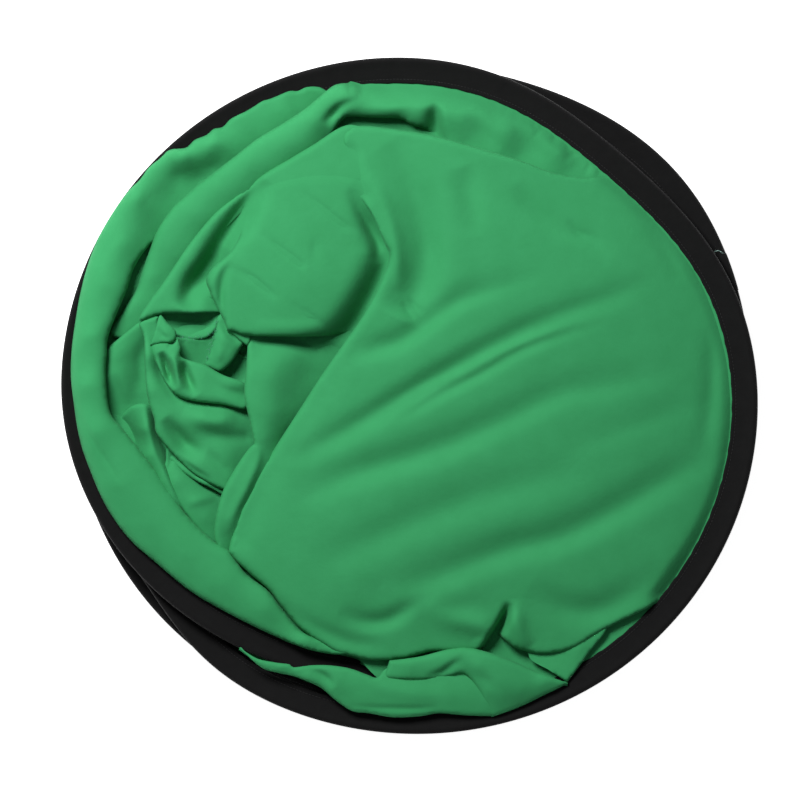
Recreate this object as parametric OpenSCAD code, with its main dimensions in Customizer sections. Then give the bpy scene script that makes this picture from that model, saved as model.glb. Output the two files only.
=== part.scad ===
// Twist-fold backdrop panel, folded flat into three stacked coils.
// Origin: centre of the folded panel on the surface it lies on. +Z is up.
// One endless strand (spring-steel band inside a sewn binding tape) makes three
// clockwise turns. "Travel" is the angle walked along it, 0 to 1080 degrees.

/* [Coils] */
// Mean outer diameter of a coil
coil_d = 689; // [660:1:720]
// How much wider than tall the coils are, as a radius change
coil_oval = 5; // [0:0.5:8]
// How much the coils lean towards the upper left, as a radius change
coil_skew = 3; // [0:0.5:6]
// Height from one coil to the next
coil_pitch = 14; // [13.5:0.1:16]

/* [Binding tape] */
// Width of the folded tape seen from above
tape_w = 26; // [24:0.5:30]
// Height of the tape where it wraps the band
tape_h = 11.8; // [11:0.1:12.4]
// Thickness of one ply of tape
tape_ply = 0.8; // [0.6:0.05:0.9]

/* [Steel band] */
// Width of the spring-steel band, which stands upright in the coils
band_w = 8; // [7:0.1:8.4]
// Thickness of the band
band_t = 1; // [0.8:0.05:1.1]
// Wall of the sleeve crimped round the joined band ends
sleeve_wall = 0.55; // [0.4:0.05:0.6]
// Diameter of a rivet shank
rivet_d = 2.4; // [2:0.1:3]

/* [Cloth] */
// Clear space between the packed cloth and the tape round it
cloth_clear = 4; // [3:0.5:8]
// Free height between the cloth packs of two coils
cloth_gap = 1; // [0.8:0.1:1.4]
// Height of the soft folds on top of the upper coil
fold_h = 9; // [6:0.5:12]

/* [Hidden] */

// Polar angle at which the upper coil starts, under the cloth bunch
start_angle = -95;
full_turn = 360;
loop = 3 * full_turn;

// Travel at which the strand passes from one coil body to the next
upper_from = 31.5;
upper_to = 384.8;
lower_from = 745.2;
lower_to = 1058;
crossover_from = 1058.4;
crossover_to = 1111.1;
split = 0.4;
middle_from = upper_to + split;
middle_to = lower_from - split;
ring_step = 6;

// Heights
low_z = tape_h / 2;
tape_top = low_z + 2 * coil_pitch + tape_h / 2;
first_plane = (tape_h + coil_pitch) / 2;
second_plane = first_plane + coil_pitch;
fold_gap = 0.5;
roll_base = tape_top + 0.8;
upper_cloth_top = tape_top + 10;

// The band joint fills one ring step of the middle coil
middle_rings = round((middle_to - middle_from) / ring_step);
joint_ring = 36;
joint_from = middle_from + (middle_to - middle_from) * joint_ring / middle_rings;
joint_to = middle_from + (middle_to - middle_from) * (joint_ring + 1) / middle_rings;
sleeve_gap = 0.05;
band_in = 2.2;

tape_black = [0.09, 0.09, 0.1];
spring_steel = [0.55, 0.57, 0.6];
chroma_green = [0.24, 0.65, 0.42];
thread_black = [0.13, 0.13, 0.14];
thread_teal = [0.62, 0.78, 0.74];

// 0 before a, 1 after b, and smooth between them
function ramp(x, a, b) =
    let (t = min(1, max(0, (x - a) / (b - a))))
    t * t * (3 - 2 * t);
function hump(x, middle, width) = exp(-pow((x - middle) / width, 2));

// How far the strand's outer edge lies inside the mean outline
function inset(f) =
    43 * (1 - ramp(f, 5, 90))
    + 18.5 * hump(f, 218, 24)
    + 17.5 * hump(f, 412, 17)
    + 6 * ramp(f, 430, 480)
    - 14 * hump(f, 585, 25)
    + 2 * ramp(f, 760, 800)
    + 35 * ramp(f, 1010, 1078);

// Coils climbed above the lowest one; the last stretch climbs inside the others
function climb(f) =
    f < full_turn / 2
        ? 2 * ramp(f + loop, 1045, 1118)
        : 2 - ramp(f, 335, 405) - ramp(f, 695, 765) + 2 * ramp(f, 1045, 1118);

function outline_r(a) = coil_d / 2 + coil_oval * cos(2 * a) - coil_skew * sin(2 * a);
function edge_r(f) = outline_r(start_angle - f) - inset(f % loop);
function strand_z(f) = low_z + coil_pitch * climb(f);

// A point on the strand: q[0] inwards from the outer edge, q[1] up from its middle
function strand_point(f, q) =
    let (a = start_angle - f, r = edge_r(f) - q[0])
    [r * cos(a), r * sin(a), strand_z(f) + q[1]];

// Sweeps a closed outline along the strand. The outline is a ladder: its first half of
// points runs one way and its second half runs back beside it, so the ends close in rungs.
module strand(outline, from, to) {
    rings = max(1, round((to - from) / ring_step));
    n = len(outline);
    points = [
        for (i = [0:rings])
            for (q = outline)
                strand_point(from + (to - from) * i / rings, q)
    ];
    sides = [
        for (i = [0:rings - 1])
            for (j = [0:n - 1])
                let (a = i * n + j, b = i * n + (j + 1) % n)
                each [[a, a + n, b], [b, a + n, b + n]]
    ];
    last = rings * n;
    first_cap = [
        for (j = [0:n / 2 - 2])
            each [[j, j + 1, n - 1 - j], [j + 1, n - 2 - j, n - 1 - j]]
    ];
    last_cap = [for (f = first_cap) [last + f[2], last + f[1], last + f[0]]];
    polyhedron(points = points, faces = concat(sides, first_cap, last_cap), convexity = 10);
}

// Outlines list their upper half from the outer edge of the strand to its inner edge
function flipped(half) = [for (q = half) [q[0], -q[1]]];
function backwards(half) = [for (i = [len(half) - 1:-1:0]) half[i]];
// A C-shaped section, open along the inner edge
function folded(outer, inner) =
    concat(backwards(flipped(outer)), outer, backwards(inner), flipped(inner));

stitch_in = tape_w - 4;
// Outer skin of the tape as far inwards as reach, grown for a second layer over it
slope_in = 12;
slope_v = 3.2;
edge_v = tape_ply + 0.2;
function tape_skin(grow, reach = tape_w) = [
    [-grow, tape_h / 2 - 2.1],
    [1 - grow, tape_h / 2 + grow],
    [4.6, tape_h / 2 + grow],
    [slope_in, slope_v + grow],
    [reach, slope_v - (slope_v - edge_v) * (reach - slope_in) / (tape_w - slope_in) + grow]
];
tape_channel = [
    [tape_ply, tape_h / 2 - 2.2],
    [1.5, tape_h / 2 - tape_ply],
    [4.4, tape_h / 2 - tape_ply],
    [slope_in, slope_v - tape_ply],
    [tape_w, 0.2]
];
tape_section = folded(tape_skin(0), tape_channel);
// The overlap patch stops short of the stitches
patch_reach = stitch_in - 2;
patch_section = folded(tape_skin(0.9, patch_reach), tape_skin(0.1, patch_reach));

band_out = band_in + band_t;
band_section = [
    [band_in, -band_w / 2],
    [band_in, band_w / 2],
    [band_out, band_w / 2],
    [band_out, -band_w / 2]
];

// The sleeve is crimped shut along its inner side, with a hairline seam
function sleeve_ring(grow) = [
    [band_in - grow, band_w / 2 + grow],
    [band_out + grow, band_w / 2 + grow],
    [band_out + grow, 0.15]
];
sleeve_section = folded(sleeve_ring(sleeve_gap + sleeve_wall), sleeve_ring(sleeve_gap));

// Lockstitch thread lying on the tape, near its inner edge
stitch_r = 0.35;
stitch_lift = 2.05;
stitch_section = [
    [stitch_in - stitch_r, stitch_lift],
    [stitch_in, stitch_lift + stitch_r],
    [stitch_in + stitch_r, stitch_lift],
    [stitch_in, stitch_lift - stitch_r]
];

// Parts of the strand

module tape(from, to) {
    color(tape_black) strand(tape_section, from, to);
}

module band(from, to) {
    color(spring_steel) strand(band_section, from, to);
}

module stitches(from, to) {
    color(thread_black) {
        strand(stitch_section, from, to);
        strand(backwards(flipped(stitch_section)), from, to);
    }
}

module tape_lower() { tape(lower_from, lower_to); }
module tape_middle() { tape(middle_from, middle_to); }
module tape_upper() { tape(upper_from, upper_to); }
module tape_crossover() { tape(crossover_from, crossover_to); }

module band_lower() { band(lower_from, lower_to); }
module band_upper() { band(upper_from, upper_to); }
module band_crossover() { band(crossover_from, crossover_to); }
module band_middle() {
    difference() {
        band(middle_from, middle_to);
        rivet_bores();
    }
}

module stitch_lower() { stitches(lower_from, lower_to); }
module stitch_middle() { stitches(middle_from, middle_to); }
module stitch_upper() { stitches(upper_from, upper_to); }
module stitch_crossover() { stitches(crossover_from, crossover_to); }

// The joint of the band ends, in one straight ring step of the middle coil
module tape_end_patch() {
    color(tape_black) strand(patch_section, joint_from, joint_to);
}

module band_sleeve() {
    color(spring_steel) difference() {
        strand(sleeve_section, joint_from, joint_to);
        rivet_bores();
    }
}

// Places a child at a rivet, with the child's Z along the rivet's shank
module at_rivets() {
    a = strand_point(joint_from, [band_in + band_t / 2, 0]);
    b = strand_point(joint_to, [band_in + band_t / 2, 0]);
    for (part = [0.3, 0.7])
        translate(a + (b - a) * part)
            rotate([0, 0, atan2(b[1] - a[1], b[0] - a[0])])
                rotate([90, 0, 0])
                    children();
}

module rivet_bores() {
    at_rivets() cylinder(d = rivet_d + 0.1, h = 8, center = true, $fn = 48);
}

module band_rivets() {
    shank = band_t + 2 * (sleeve_gap + sleeve_wall);
    head = 0.4;
    color(spring_steel) at_rivets() {
        cylinder(d = rivet_d, h = shank, center = true, $fn = 48);
        for (side = [-1, 1])
            translate([0, 0, side * (shank + head) / 2])
                cylinder(d = rivet_d + 1.4, h = head, center = true, $fn = 48);
    }
}

// Loose end of the sewing thread, where the tape ends overlap
module thread_tail() {
    start = strand_point(joint_from, [6, tape_h / 2]);
    tail_r = 7;
    color(thread_teal)
        translate([start[0], start[1], start[2] + 1.6])
            rotate([0, 0, 60])
                rotate_extrude(angle = 110, $fn = 48)
                    translate([tail_r, 0]) circle(r = 0.4, $fn = 24);
}

// Soft cloth

// Edge of the packed cloth, clear of all three turns of the strand at that travel
function pack_r(f) =
    min([for (turn = [0:2]) edge_r(f + turn * full_turn)]) - tape_w - cloth_clear;
function polar(r, f) = [r * cos(start_angle - f), r * sin(start_angle - f)];
pack_outline = [for (f = [0:ring_step:full_turn - ring_step]) polar(pack_r(f), f)];

module cloth_slab(outline, bottom, top) {
    color(chroma_green)
        translate([0, 0, bottom])
            linear_extrude(top - bottom) polygon(outline);
}

module cloth_lower() { cloth_slab(pack_outline, 0, first_plane - cloth_gap / 2); }
module cloth_middle() {
    cloth_slab(pack_outline, first_plane + cloth_gap / 2, second_plane - cloth_gap / 2);
}
module cloth_upper() { cloth_slab(pack_outline, second_plane + cloth_gap / 2, upper_cloth_top); }

// Cloth that bulges out over the upper tape, between two places along its travel
module cloth_over_tape(from, to, outer_inset, top) {
    steps = round((to - from) / ring_step);
    travel = [for (i = [0:steps]) from + (to - from) * i / steps];
    outer = [for (f = travel) polar(edge_r(f) - outer_inset, f)];
    inner = [for (f = backwards(travel)) polar(pack_r(f) + fold_gap, f)];
    cloth_slab(concat(outer, inner), roll_base, top);
}

module cloth_roll_left() { cloth_over_tape(72, 176, 7, upper_cloth_top + 2); }
module cloth_bunch_bottom() { cloth_over_tape(315, 382, 18, upper_cloth_top); }

// A low mound of folds on top of the upper pack
module soft_mound(radius, height, middle) {
    bottom = upper_cloth_top + fold_gap;
    color(chroma_green)
        translate([middle[0], middle[1], 0])
            rotate_extrude($fn = 96)
                polygon([
                    [0, bottom],
                    [radius - 8, bottom],
                    [radius, bottom + height / 2],
                    [radius * 0.7, bottom + height],
                    [0, bottom + height]
                ]);
}

module cloth_lobe() { soft_mound(165, fold_h, [100, 8]); }
module cloth_knot() { soft_mound(46, fold_h - 1, [-212, -32]); }

tape_lower();
tape_middle();
tape_upper();
tape_crossover();
tape_end_patch();
band_lower();
band_middle();
band_upper();
band_crossover();
band_sleeve();
band_rivets();
stitch_lower();
stitch_middle();
stitch_upper();
stitch_crossover();
thread_tail();
cloth_lower();
cloth_middle();
cloth_upper();
cloth_lobe();
cloth_knot();
cloth_roll_left();
cloth_bunch_bottom();
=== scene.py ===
"""Looks of a twist-fold backdrop panel, folded into three stacked coils.

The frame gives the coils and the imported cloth. Here the binding tape is swept again with a
soft section and sewn stitches, and the crumpled cloth is laid up from overlapping folds.
Lengths are in millimetres in the fold tables and in metres in every mesh.
"""

import math

import bpy
import numpy as np
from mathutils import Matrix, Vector, geometry


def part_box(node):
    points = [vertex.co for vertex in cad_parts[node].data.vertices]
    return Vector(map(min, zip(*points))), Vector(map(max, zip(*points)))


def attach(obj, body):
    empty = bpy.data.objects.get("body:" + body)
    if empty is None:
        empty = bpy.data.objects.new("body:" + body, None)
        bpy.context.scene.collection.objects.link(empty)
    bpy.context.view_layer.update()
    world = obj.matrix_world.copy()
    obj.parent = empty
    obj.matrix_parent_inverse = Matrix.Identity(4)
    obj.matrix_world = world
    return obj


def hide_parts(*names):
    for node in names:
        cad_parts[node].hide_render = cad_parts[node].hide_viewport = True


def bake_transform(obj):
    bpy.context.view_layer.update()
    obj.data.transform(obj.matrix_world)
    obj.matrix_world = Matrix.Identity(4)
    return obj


MM = 0.001

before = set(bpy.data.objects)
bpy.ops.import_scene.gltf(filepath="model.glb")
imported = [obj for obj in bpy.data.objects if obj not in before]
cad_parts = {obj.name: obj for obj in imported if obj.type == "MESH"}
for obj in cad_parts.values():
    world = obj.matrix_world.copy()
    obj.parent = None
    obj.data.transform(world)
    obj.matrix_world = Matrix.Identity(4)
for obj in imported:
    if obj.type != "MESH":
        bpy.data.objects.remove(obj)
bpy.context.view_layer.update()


# ---------------------------------------------------------------- camera, light and floor

VIEW_CENTRE = (-0.0095, -0.0045)
VIEW_WIDTH = 0.8
CAMERA_LENS = 180
SENSOR = 36
PACK_TOP = 0.045
FLOOR_SIZE = 12
WORLD_STRENGTH = 0.16
KEY_PLACE = (-0.8, 1.2, 1.68)
KEY_SIZE = 0.9
KEY_POWER = 57


def make_camera():
    data = bpy.data.cameras.new("view_camera")
    data.lens = CAMERA_LENS
    data.sensor_width = SENSOR
    data.clip_end = 50
    camera = bpy.data.objects.new("view_camera", data)
    bpy.context.scene.collection.objects.link(camera)
    distance = VIEW_WIDTH * CAMERA_LENS / SENSOR
    camera.location = (VIEW_CENTRE[0], VIEW_CENTRE[1], PACK_TOP + distance)
    bpy.context.scene.camera = camera


def area_light(name, place, aim, size, power):
    data = bpy.data.lights.new(name, "AREA")
    data.shape = "DISK"
    data.size = size
    data.energy = power
    light = bpy.data.objects.new(name, data)
    light.location = place
    light.rotation_euler = (Vector(place) - Vector(aim)).to_track_quat("Z", "Y").to_euler()
    bpy.context.scene.collection.objects.link(light)


def make_world(strength):
    world = bpy.data.worlds.new("studio_world")
    world.use_nodes = True
    world.node_tree.nodes["Background"].inputs["Color"].default_value = (1, 1, 1, 1)
    world.node_tree.nodes["Background"].inputs["Strength"].default_value = strength
    bpy.context.scene.world = world


def make_floor(size):
    mesh = bpy.data.meshes.new("floor")
    h = size / 2
    mesh.from_pydata([(-h, -h, 0), (h, -h, 0), (h, h, 0), (-h, h, 0)], [], [(0, 1, 2, 3)])
    floor = bpy.data.objects.new("floor", mesh)
    bpy.context.scene.collection.objects.link(floor)
    floor.location = (0, 0, -0.0005)
    material = bpy.data.materials.new("pale_floor")
    material.use_nodes = True
    shader = material.node_tree.nodes["Principled BSDF"]
    shader.inputs["Base Color"].default_value = (0.93, 0.93, 0.93, 1)
    shader.inputs["Roughness"].default_value = 0.9
    shader.inputs["Specular IOR Level"].default_value = 0.1
    shader.inputs["Emission Color"].default_value = (1, 1, 1, 1)
    shader.inputs["Emission Strength"].default_value = 0.9
    mesh.materials.append(material)


make_camera()
make_world(WORLD_STRENGTH)
make_floor(FLOOR_SIZE)
area_light("key_softbox", KEY_PLACE, (0, 0, 0.03), KEY_SIZE, KEY_POWER)
bpy.context.scene.view_settings.view_transform = "Standard"


# ---------------------------------------------------------------- materials


class Nodes:
    """A short way to write a node tree."""

    def __init__(self, name):
        self.material = bpy.data.materials.new(name)
        self.material.use_nodes = True
        self.tree = self.material.node_tree
        self.shader = self.tree.nodes["Principled BSDF"]
        coords = self.tree.nodes.new("ShaderNodeTexCoord")
        self.place = coords.outputs["Object"]

    def add(self, kind, inputs=(), **settings):
        node = self.tree.nodes.new(kind)
        for key, value in settings.items():
            setattr(node, key, value)
        for key, value in dict(inputs).items():
            if isinstance(value, bpy.types.NodeSocket):
                self.tree.links.new(value, node.inputs[key])
            else:
                node.inputs[key].default_value = value
        return node

    def noise(self, scale, detail=3.0, roughness=0.5):
        found = self.add(
            "ShaderNodeTexNoise",
            {"Vector": self.place, "Scale": scale, "Detail": detail, "Roughness": roughness},
        )
        return found.outputs["Fac"]

    def math(self, operation, a, b=0.0):
        return self.add("ShaderNodeMath", {0: a, 1: b}, operation=operation).outputs[0]

    def ramp(self, value, stops):
        node = self.add("ShaderNodeValToRGB", {"Fac": value})
        elements = node.color_ramp.elements
        while len(elements) < len(stops):
            elements.new(0.5)
        for element, (position, colour) in zip(elements, stops):
            element.position = position
            element.color = (*colour, 1)
        return node.outputs["Color"]

    def bump(self, height, strength, distance, below=None):
        inputs = {"Height": height, "Strength": strength, "Distance": distance}
        if below is not None:
            inputs["Normal"] = below
        return self.add("ShaderNodeBump", inputs).outputs["Normal"]

    def set(self, **values):
        for key, value in values.items():
            socket = self.shader.inputs[key.replace("_", " ")]
            if isinstance(value, bpy.types.NodeSocket):
                self.tree.links.new(value, socket)
            else:
                socket.default_value = value


def weave_height(nodes, pitch, twill):
    """Height of a plain or twill weave, from the place on the cloth."""
    split = nodes.add("ShaderNodeSeparateXYZ", {"Vector": nodes.place})
    turns = 2 * math.pi / pitch
    x = nodes.math("MULTIPLY", split.outputs["X"], turns)
    y = nodes.math("MULTIPLY", split.outputs["Y"], turns)
    if twill:
        return nodes.math("SINE", nodes.math("ADD", x, y))
    return nodes.math("MULTIPLY", nodes.math("SINE", x), nodes.math("SINE", y))


def green_cloth_material():
    nodes = Nodes("green_cloth")
    mottle = nodes.ramp(
        nodes.noise(45, 5.0, 0.6),
        [(0.3, (0.037, 0.300, 0.106)), (0.7, (0.041, 0.320, 0.116))],
    )
    weave = nodes.bump(weave_height(nodes, 1.1 * MM, False), 0.35, 0.00012)
    wrinkle = nodes.bump(nodes.noise(160, 4.0, 0.55), 0.22, 0.0012, weave)
    nodes.set(Base_Color=mottle, Normal=wrinkle, Roughness=0.82)
    nodes.shader.inputs["Specular IOR Level"].default_value = 0.12
    nodes.shader.inputs["Sheen Weight"].default_value = 0.08
    nodes.shader.inputs["Sheen Roughness"].default_value = 0.45
    nodes.shader.inputs["Sheen Tint"].default_value = (0.35, 0.9, 0.5, 1)
    return nodes.material


def black_tape_material():
    nodes = Nodes("black_tape")
    tone = nodes.ramp(
        nodes.noise(80, 4.0, 0.6),
        [(0.3, (0.0022, 0.0022, 0.0024)), (0.75, (0.0039, 0.0039, 0.0041))],
    )
    twill = nodes.bump(weave_height(nodes, 0.9 * MM, True), 0.5, 0.00015)
    pucker = nodes.bump(nodes.noise(220, 2.0, 0.5), 0.25, 0.0008, twill)
    nodes.set(Base_Color=tone, Normal=pucker, Roughness=0.78)
    nodes.shader.inputs["Specular IOR Level"].default_value = 0.2
    nodes.shader.inputs["Sheen Weight"].default_value = 0.05
    nodes.shader.inputs["Sheen Roughness"].default_value = 0.5
    return nodes.material


def thread_material(name, dark, light):
    nodes = Nodes(name)
    tone = nodes.ramp(nodes.noise(900, 2.0, 0.5), [(0.35, dark), (0.7, light)])
    nodes.set(Base_Color=tone, Roughness=0.7)
    return nodes.material


def steel_material(name, dark, light, roughness):
    nodes = Nodes(name)
    tone = nodes.ramp(nodes.noise(120, 4.0, 0.6), [(0.3, dark), (0.75, light)])
    scratch = nodes.bump(nodes.noise(700, 2.0, 0.5), 0.1, 0.0001)
    nodes.set(Base_Color=tone, Normal=scratch, Roughness=roughness, Metallic=1.0)
    return nodes.material


GREEN = green_cloth_material()
BLACK = black_tape_material()
THREAD_BLACK = thread_material("black_thread", (0.01, 0.01, 0.011), (0.022, 0.022, 0.023))
SEAM_THREAD = thread_material("seam_thread", (0.05, 0.24, 0.15), (0.12, 0.42, 0.3))
THREAD_TEAL = thread_material("teal_thread", (0.38, 0.62, 0.55), (0.55, 0.78, 0.7))
SPRING_STEEL = steel_material("spring_steel", (0.25, 0.26, 0.29), (0.42, 0.43, 0.45), 0.35)
SLEEVE_STEEL = steel_material("sleeve_steel", (0.5, 0.51, 0.53), (0.66, 0.67, 0.68), 0.3)


def new_piece(name, points, faces, material):
    mesh = bpy.data.meshes.new(name)
    mesh.from_pydata([tuple(p) for p in points], [], faces)
    mesh.validate()
    mesh.update()
    mesh.polygons.foreach_set("use_smooth", [True] * len(mesh.polygons))
    mesh.materials.append(material)
    piece = bpy.data.objects.new(name, mesh)
    bpy.context.scene.collection.objects.link(piece)
    return piece


# ---------------------------------------------------------------- the strand

# The same endless three-turn strand as the CAD model: travel is the angle walked along it.
START_ANGLE = -95
LOOP = 1080
COIL_PITCH = 14
LOW_Z = 5.9
TAPE_W = 26


def ramp(x, a, b):
    t = np.clip((np.asarray(x, float) - a) / (b - a), 0, 1)
    return t * t * (3 - 2 * t)


def hump(x, middle, width):
    return np.exp(-(((np.asarray(x, float) - middle) / width) ** 2))


def edge_radius(travel):
    f = np.asarray(travel, float) % LOOP
    a = np.radians(START_ANGLE - f)
    inset = (
        43 * (1 - ramp(f, 5, 90))
        + 18.5 * hump(f, 218, 24)
        + 17.5 * hump(f, 412, 17)
        + 6 * ramp(f, 430, 480)
        - 14 * hump(f, 585, 25)
        + 2 * ramp(f, 760, 800)
        + 35 * ramp(f, 1010, 1078)
    )
    return 344.5 + 5 * np.cos(2 * a) - 3 * np.sin(2 * a) - inset


def strand_height(travel):
    f = np.asarray(travel, float) % LOOP
    rising = 2 * ramp(f + LOOP, 1045, 1118)
    rest = 2 - ramp(f, 335, 405) - ramp(f, 695, 765) + 2 * ramp(f, 1045, 1118)
    return LOW_Z + COIL_PITCH * np.where(f < 180, rising, rest)


def strand_point(travel, inward, up):
    """A place on the strand, in metres: inward from its outer edge, up from its middle."""
    a = np.radians(START_ANGLE - np.asarray(travel, float))
    r = edge_radius(travel) - inward
    z = strand_height(travel) + up
    return np.stack([r * np.cos(a), r * np.sin(a), z], -1) * MM


def tape_section():
    """Half-soft wedge: a bulge round the band, a dip, and the stitched double edge."""
    top = [
        (0.0, 1.6), (0.25, 3.6), (0.9, 4.9), (2.0, 5.6), (3.4, 5.85), (5.0, 5.6), (7.0, 4.9),
        (9.5, 4.1), (12.5, 3.35), (16.0, 2.6), (19.0, 2.05), (21.0, 1.72), (22.0, 1.5),
        (23.0, 1.55), (24.6, 1.5), (25.6, 1.15), (26.0, 0.6),
    ]
    return top + [(u, -v) for u, v in reversed(top)]


SECTION = tape_section()
TAPE_STEP = 0.9


def tape_piece(name, start, end):
    rings = int(round((end - start) / TAPE_STEP))
    travel = np.linspace(start, end, rings + 1)
    u, v = np.array(SECTION).T
    f = travel[:, None]
    wobble = 0.25 * np.sin(f * 1.7) + 0.18 * np.sin(f * 4.3 + 1)
    points = strand_point(f, u + wobble * u / TAPE_W, v * (1 + 0.03 * np.sin(f * 2.9))).reshape(-1, 3)
    n = len(SECTION)
    faces = [
        (i * n + j, (i + 1) * n + j, (i + 1) * n + (j + 1) % n, i * n + (j + 1) % n)
        for i in range(rings)
        for j in range(n)
    ]
    # the ends have corners of their own, so the shading runs on from piece to piece
    last = len(points)
    points = np.concatenate([points, points[:n], points[-n:]])
    faces.append(tuple(last + j for j in range(n)))
    faces.append(tuple(last + 2 * n - 1 - j for j in range(n)))
    return new_piece(name, points, faces, BLACK)


for part in (
    ("tape_upper_run", 44, 371, "upper_coil", "tape_upper"),
    ("tape_middle_run", 398, 731, "middle_coil", "tape_middle"),
    ("tape_lower_run", 758, 1046, "lower_coil", "tape_lower"),
):
    piece = tape_piece(*part[:3])
    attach(piece, part[3])
    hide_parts(part[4])

for name, start, end, before, after, node in (
    ("tape_upper_to_middle", 371, 398, "upper_coil", "middle_coil", "tape_upper"),
    ("tape_middle_to_lower", 731, 758, "middle_coil", "lower_coil", "tape_middle"),
    ("tape_lower_to_crossover", 1046, 1086, "lower_coil", "middle_coil", "tape_crossover"),
    ("tape_crossover_to_upper", 1086, 1124, "middle_coil", "upper_coil", "tape_crossover"),
):
    piece = tape_piece(name, start, end)
    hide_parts(node)
    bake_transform(piece)


# ---------------------------------------------------------------- folded cloth

# Every fold is a sheet of its own shape: a closed outline of (x, y, z, roll) points, where roll
# is how far the cloth rolls over at that edge (0 where the edge is tucked away), height points
# (x, y, z) inside it, and creases. A point given twice makes a corner.
SPACING = 2.6
ROLL_REACH = 1.7


def spline(control, closed, spacing=SPACING):
    c = np.array(control, float)
    n = len(c)
    pieces = []
    for i in range(n if closed else n - 1):
        if closed:
            p0, p1, p2, p3 = c[i - 1], c[i], c[(i + 1) % n], c[(i + 2) % n]
        else:
            p0, p1, p2, p3 = c[max(i - 1, 0)], c[i], c[i + 1], c[min(i + 2, n - 1)]
        length = math.hypot(*(p2 - p1)[:2])
        if length < 1e-6:
            continue
        steps = max(1, round(length / spacing))
        t = np.arange(steps)[:, None] / steps
        pieces.append(
            0.5
            * (
                2 * p1
                + (p2 - p0) * t
                + (2 * p0 - 5 * p1 + 4 * p2 - p3) * t**2
                + (3 * p1 - p0 - 3 * p2 + p3) * t**3
            )
        )
    if not closed:
        pieces.append(c[-1:])
    return np.concatenate(pieces)


def nearest(points, line, closed):
    """Distance to a line, which side (left is +1), and the line's columns there."""
    a = line if closed else line[:-1]
    b = np.roll(line, -1, 0) if closed else line[1:]
    d = (b - a)[:, :2]
    length2 = np.maximum((d**2).sum(1), 1e-12)
    dist = np.empty(len(points))
    side = np.empty(len(points))
    found = np.empty((len(points), line.shape[1]))
    for start in range(0, len(points), 4000):
        p = points[start : start + 4000]
        rel = p[:, None, :2] - a[None, :, :2]
        t = np.clip((rel * d).sum(2) / length2, 0, 1)
        gap = rel - t[..., None] * d
        g2 = (gap**2).sum(2)
        k = g2.argmin(1)
        rows = np.arange(len(p))
        tk = t[rows, k][:, None]
        dist[start : start + len(p)] = np.sqrt(g2[rows, k])
        cross = d[k, 0] * rel[rows, k, 1] - d[k, 1] * rel[rows, k, 0]
        side[start : start + len(p)] = np.where(cross >= 0, 1, -1)
        found[start : start + len(p)] = a[k] * (1 - tk) + b[k] * tk
    return dist, side, found


def inside(points, ring):
    x, y = points[:, 0], points[:, 1]
    odd = np.zeros(len(points), bool)
    for (x0, y0), (x1, y1) in zip(ring[:, :2], np.roll(ring[:, :2], -1, 0)):
        if y0 == y1:
            continue
        crosses = (y0 > y) != (y1 > y)
        odd ^= crosses & (x < (x1 - x0) * (y - y0) / (y1 - y0) + x0)
    return odd


class Surface:
    """A smooth surface through (x, y, z) points, as a thin plate takes them."""

    UNIT = 100.0

    def __init__(self, points, stiffness=0.002):
        p = np.array(points, float)
        _, keep = np.unique(p[:, :2].round(1), axis=0, return_index=True)
        p = p[np.sort(keep)]
        self.xy = p[:, :2] / self.UNIT
        n = len(p)
        system = np.zeros((n + 3, n + 3))
        system[:n, :n] = self.kernel(self.xy) + stiffness * np.eye(n)
        system[:n, n] = 1
        system[:n, n + 1 :] = self.xy
        system[n:, :n] = system[:n, n:].T
        self.weights = np.linalg.solve(system, np.concatenate([p[:, 2], [0, 0, 0]]))

    def kernel(self, xy):
        r2 = ((xy[:, None] - self.xy[None]) ** 2).sum(2)
        return 0.5 * r2 * np.log(np.maximum(r2, 1e-12))

    def __call__(self, points):
        xy = points[:, :2] / self.UNIT
        n = len(self.xy)
        z = np.empty(len(xy))
        for start in range(0, len(xy), 8000):
            part = xy[start : start + 8000]
            flat = np.c_[np.ones(len(part)), part]
            z[start : start + len(part)] = self.kernel(part) @ self.weights[:n] + flat @ self.weights[n:]
        return z


def crease(line, left, right=None, sharp=2.0):
    """A ridge, or a valley where h is negative, along (x, y, h) points."""
    return {"line": line, "left": left, "right": right or left, "sharp": sharp}


def crease_heights(points, creases):
    z = np.zeros(len(points))
    for c in creases:
        line = spline(c["line"], False, 4)
        reach = 4 * max(c["left"], c["right"])
        low, high = line[:, :2].min(0) - reach, line[:, :2].max(0) + reach
        near = np.all((points[:, :2] > low) & (points[:, :2] < high), axis=1)
        if not near.any():
            continue
        dist, side, found = nearest(points[near], line, False)
        width = np.where(side > 0, c["left"], c["right"])
        z[near] += found[:, 2] * np.exp(-((dist / width) ** c["sharp"]))
    return z


def ripple(points, size, height, seed):
    """Soft unevenness, from a handful of crossing waves."""
    x, y = points[:, 0] / size, points[:, 1] / size
    z = np.zeros(len(points))
    for k in range(6):
        turn = seed * 1.7 + k * 2.399
        beat = 1.6 + 0.45 * k
        bend = 0.8 * np.sin(0.9 * (x * math.sin(turn) - y * math.cos(turn)) + k)
        z += np.sin(beat * (x * math.cos(turn) + y * math.sin(turn)) + bend + seed + 2.1 * k) / (1 + 0.4 * k)
    return height * 0.45 * z


FACE_LOWEST = 29.4
TUCK_Z = 33.4
TUCK_SLOPE = 0.85


def tucked(points, z):
    """Brings the cloth down to where it comes out from under the upper coil's tape."""
    travel = (START_ANGLE - np.degrees(np.arctan2(points[:, 1], points[:, 0]))) % 360
    inwards = edge_radius(travel) - TAPE_W - np.hypot(points[:, 0], points[:, 1])
    limit = TUCK_Z + TUCK_SLOPE * np.maximum(inwards, 0)
    soft = 3.0
    low = np.minimum(z, limit) - 0.4 * soft * np.exp(-np.abs(z - limit) / soft)
    weight = ramp(travel, 163, 172) * (1 - ramp(travel, 303, 307))
    return z + (low - z) * weight


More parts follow.
